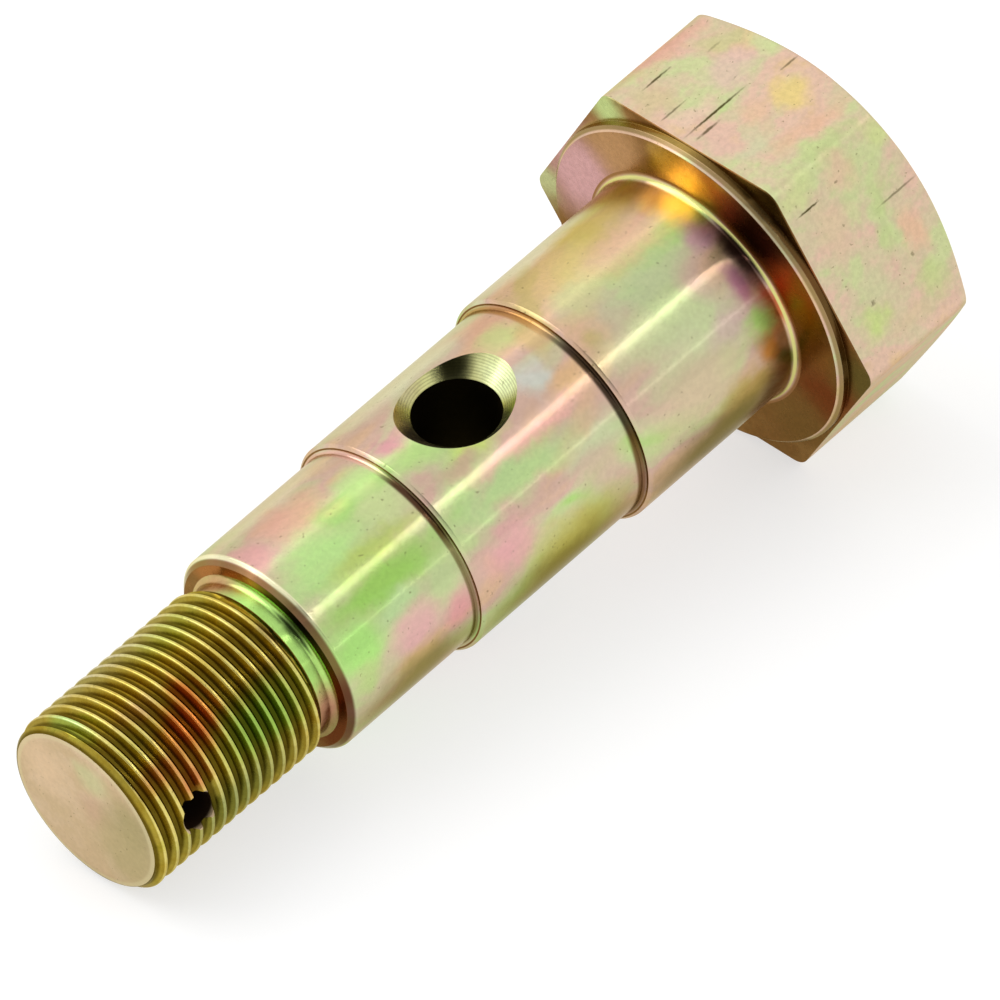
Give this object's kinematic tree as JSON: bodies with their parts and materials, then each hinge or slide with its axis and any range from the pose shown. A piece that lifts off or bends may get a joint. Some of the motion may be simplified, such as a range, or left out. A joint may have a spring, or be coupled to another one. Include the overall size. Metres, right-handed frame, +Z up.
{
  "type": "steering link pin",
  "caption": "Turned steering link pin: hexagon head, stepped plain journals, countersunk cross hole, relief neck and fine-threaded end with a split-pin hole.",
  "frame": {"origin": "centre of the part's box at the surface it lies on", "axes": "+X towards the head, along the pin's length as it lies; +Z up; the pin's own axis dips 6.19 degrees towards its threaded end in the XZ plane"},
  "size_m": [0.1296, 0.0536, 0.0488],
  "materials": {
    "plated_steel": "satin turned steel with iridescent yellow zinc plating"
  },
  "bodies": {
    "root": {"link_pin": "plated_steel"}
  },
  "joints": []
}
